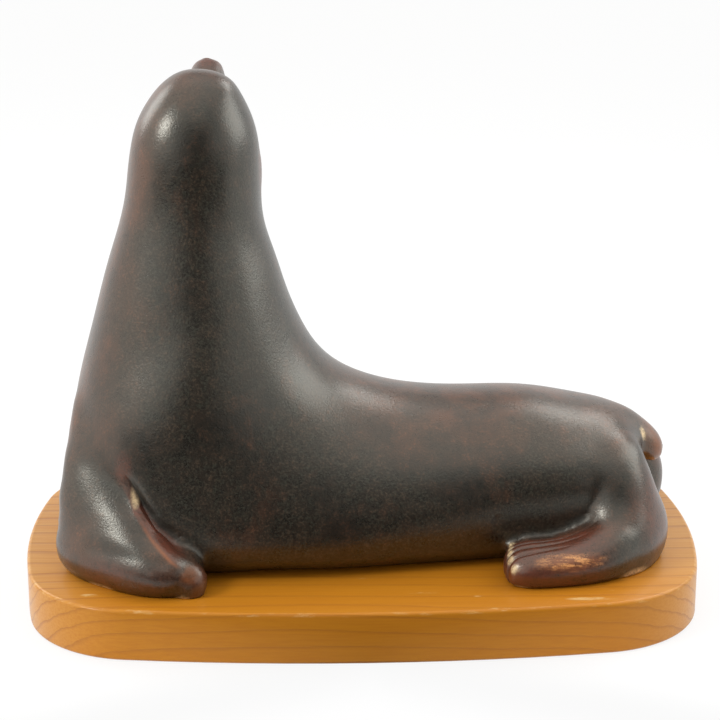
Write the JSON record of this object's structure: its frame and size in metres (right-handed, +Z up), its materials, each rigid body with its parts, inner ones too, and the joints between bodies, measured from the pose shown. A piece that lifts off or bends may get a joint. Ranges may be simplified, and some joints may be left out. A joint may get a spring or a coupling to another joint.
{
  "type": "seal figurine",
  "caption": "Glazed ceramic seal lying with its neck raised and its head turned back, standing on a varnished wooden base with rounded corners.",
  "frame": {"origin": "middle of the underside of the wooden base", "axes": "+X along the length from the chest to the tail, +Z up, -Y the side the picture looks from; the snout points towards +Y"},
  "size_m": [0.285, 0.175, 0.223],
  "materials": {
    "brown_glaze": "satin dark brown glaze over stoneware",
    "varnished_wood": "satin varnish on orange-tan softwood"
  },
  "bodies": {
    "root": {"seal_figure": "brown_glaze", "wooden_base": "varnished_wood"}
  },
  "joints": []
}
